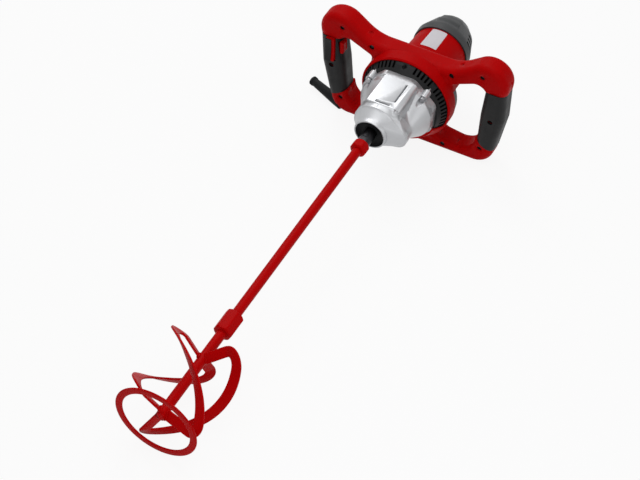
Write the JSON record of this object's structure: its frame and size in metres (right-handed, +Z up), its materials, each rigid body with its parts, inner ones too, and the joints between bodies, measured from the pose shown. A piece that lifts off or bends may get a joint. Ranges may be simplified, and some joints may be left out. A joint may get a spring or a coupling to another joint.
{
  "type": "mixing drill",
  "caption": "Two-handed mixing drill: looped handle frame with trigger and lock button, cast gear case, rear motor, and a stirring paddle with twisted blades on a foot ring.",
  "frame": {"origin": "on the floor, below the middle of the box, with the tool lying on its foot ring and the lower bar of its handle frame", "axes": "+X from the paddle towards the motor, level with the floor; +Y towards the grip with the trigger; +Z up, towards the top of the handle frame. The spindle axis rises by 4.82 degrees from the paddle to the motor."},
  "size_m": [0.879, 0.3372, 0.1935],
  "materials": {
    "red_plastic": "smooth moulded, satin gloss",
    "grey_plastic": "fine moulded grain",
    "black_plastic": "fine moulded grain",
    "grip_rubber": "matt soft grip",
    "black_rubber": "matt",
    "cast_aluminium": "bright die cast",
    "steel": "machined",
    "dark_steel": "blackened",
    "red_paint": "glossy powder coat",
    "copper": "enamelled wire",
    "laminations": "stacked sheet",
    "carbon": "pressed",
    "brass": "bent sheet"
  },
  "bodies": {
    "tool_body": {"armature_front_bearing": "steel", "armature_rear_bearing": "steel", "bearing_plate": "cast_aluminium", "brush_holders": "brass", "carbon_brushes": "carbon", "field_coils": "copper", "front_handle_shell": "red_plastic", "gear_case": "cast_aluminium", "gear_case_screws": "steel", "gear_plate": "cast_aluminium", "idler_front_bearing": "steel", "idler_rear_bearing": "steel", "left_grip_front": "grip_rubber", "left_grip_rear": "grip_rubber", "left_side_panel": "grey_plastic", "motor_housing": "red_plastic", "rear_cap": "grey_plastic", "rear_cap_screws": "steel", "rear_handle_shell": "red_plastic", "right_grip_front": "grip_rubber", "right_grip_rear": "grip_rubber", "right_side_panel": "grey_plastic", "shell_screws": "dark_steel", "spindle_front_bearing": "steel", "spindle_rear_bearing": "steel", "spindle_seal": "black_rubber", "stator_core": "laminations", "strain_relief": "black_rubber", "switch_body": "black_plastic", "trigger_pin": "steel", "vent_ring": "black_plastic"},
    "spindle": {"spindle": "dark_steel", "output_gear": "steel", "upper_rod": "red_paint", "coupling_sleeve": "red_paint", "lower_rod": "red_paint", "foot_ring": "red_paint", "blade_1": "red_paint", "blade_2": "red_paint", "blade_3": "red_paint"},
    "idler": {"idler_shaft": "steel", "idler_gear": "steel"},
    "armature": {"armature_shaft": "steel", "armature_core": "laminations", "armature_windings": "copper", "commutator": "copper", "cooling_fan": "black_plastic"},
    "trigger": {"trigger": "red_plastic", "trigger_cover": "grip_rubber"},
    "lock_button": {"lock_button": "red_plastic"}
  },
  "joints": [
    {"name": "spindle_spin", "type": "hinge", "parent": "tool_body", "child": "spindle", "pos_m": [0.14595, -0.01612, 0.10876], "axis": [0.9965, 0, 0.0841], "continuous": true},
    {"name": "idler_spin", "type": "hinge", "parent": "tool_body", "child": "idler", "pos_m": [0.14687, -0.04404, 0.0978], "axis": [0.9965, 0, 0.0841], "continuous": true},
    {"name": "armature_spin", "type": "hinge", "parent": "tool_body", "child": "armature", "pos_m": [0.14793, -0.01612, 0.08524], "axis": [0.9965, 0, 0.0841], "continuous": true},
    {"name": "trigger_pull", "type": "hinge", "parent": "tool_body", "child": "trigger", "pos_m": [0.28568, 0.11538, 0.14162], "axis": [0, -1, 0], "range_deg": [0, 9], "stiffness_Nm_per_rad": 1.5, "springref_deg": -8.59},
    {"name": "lock_push", "type": "slide", "parent": "tool_body", "child": "lock_button", "axis": [0, 1, 0], "range_m": [0, 0.003], "stiffness_N_per_m": 800, "springref_m": -0.002}
  ],
  "couplings": [
    {"joint": "idler_spin", "follows": "spindle_spin", "ratio": -3},
    {"joint": "armature_spin", "follows": "spindle_spin", "ratio": 13.333}
  ]
}
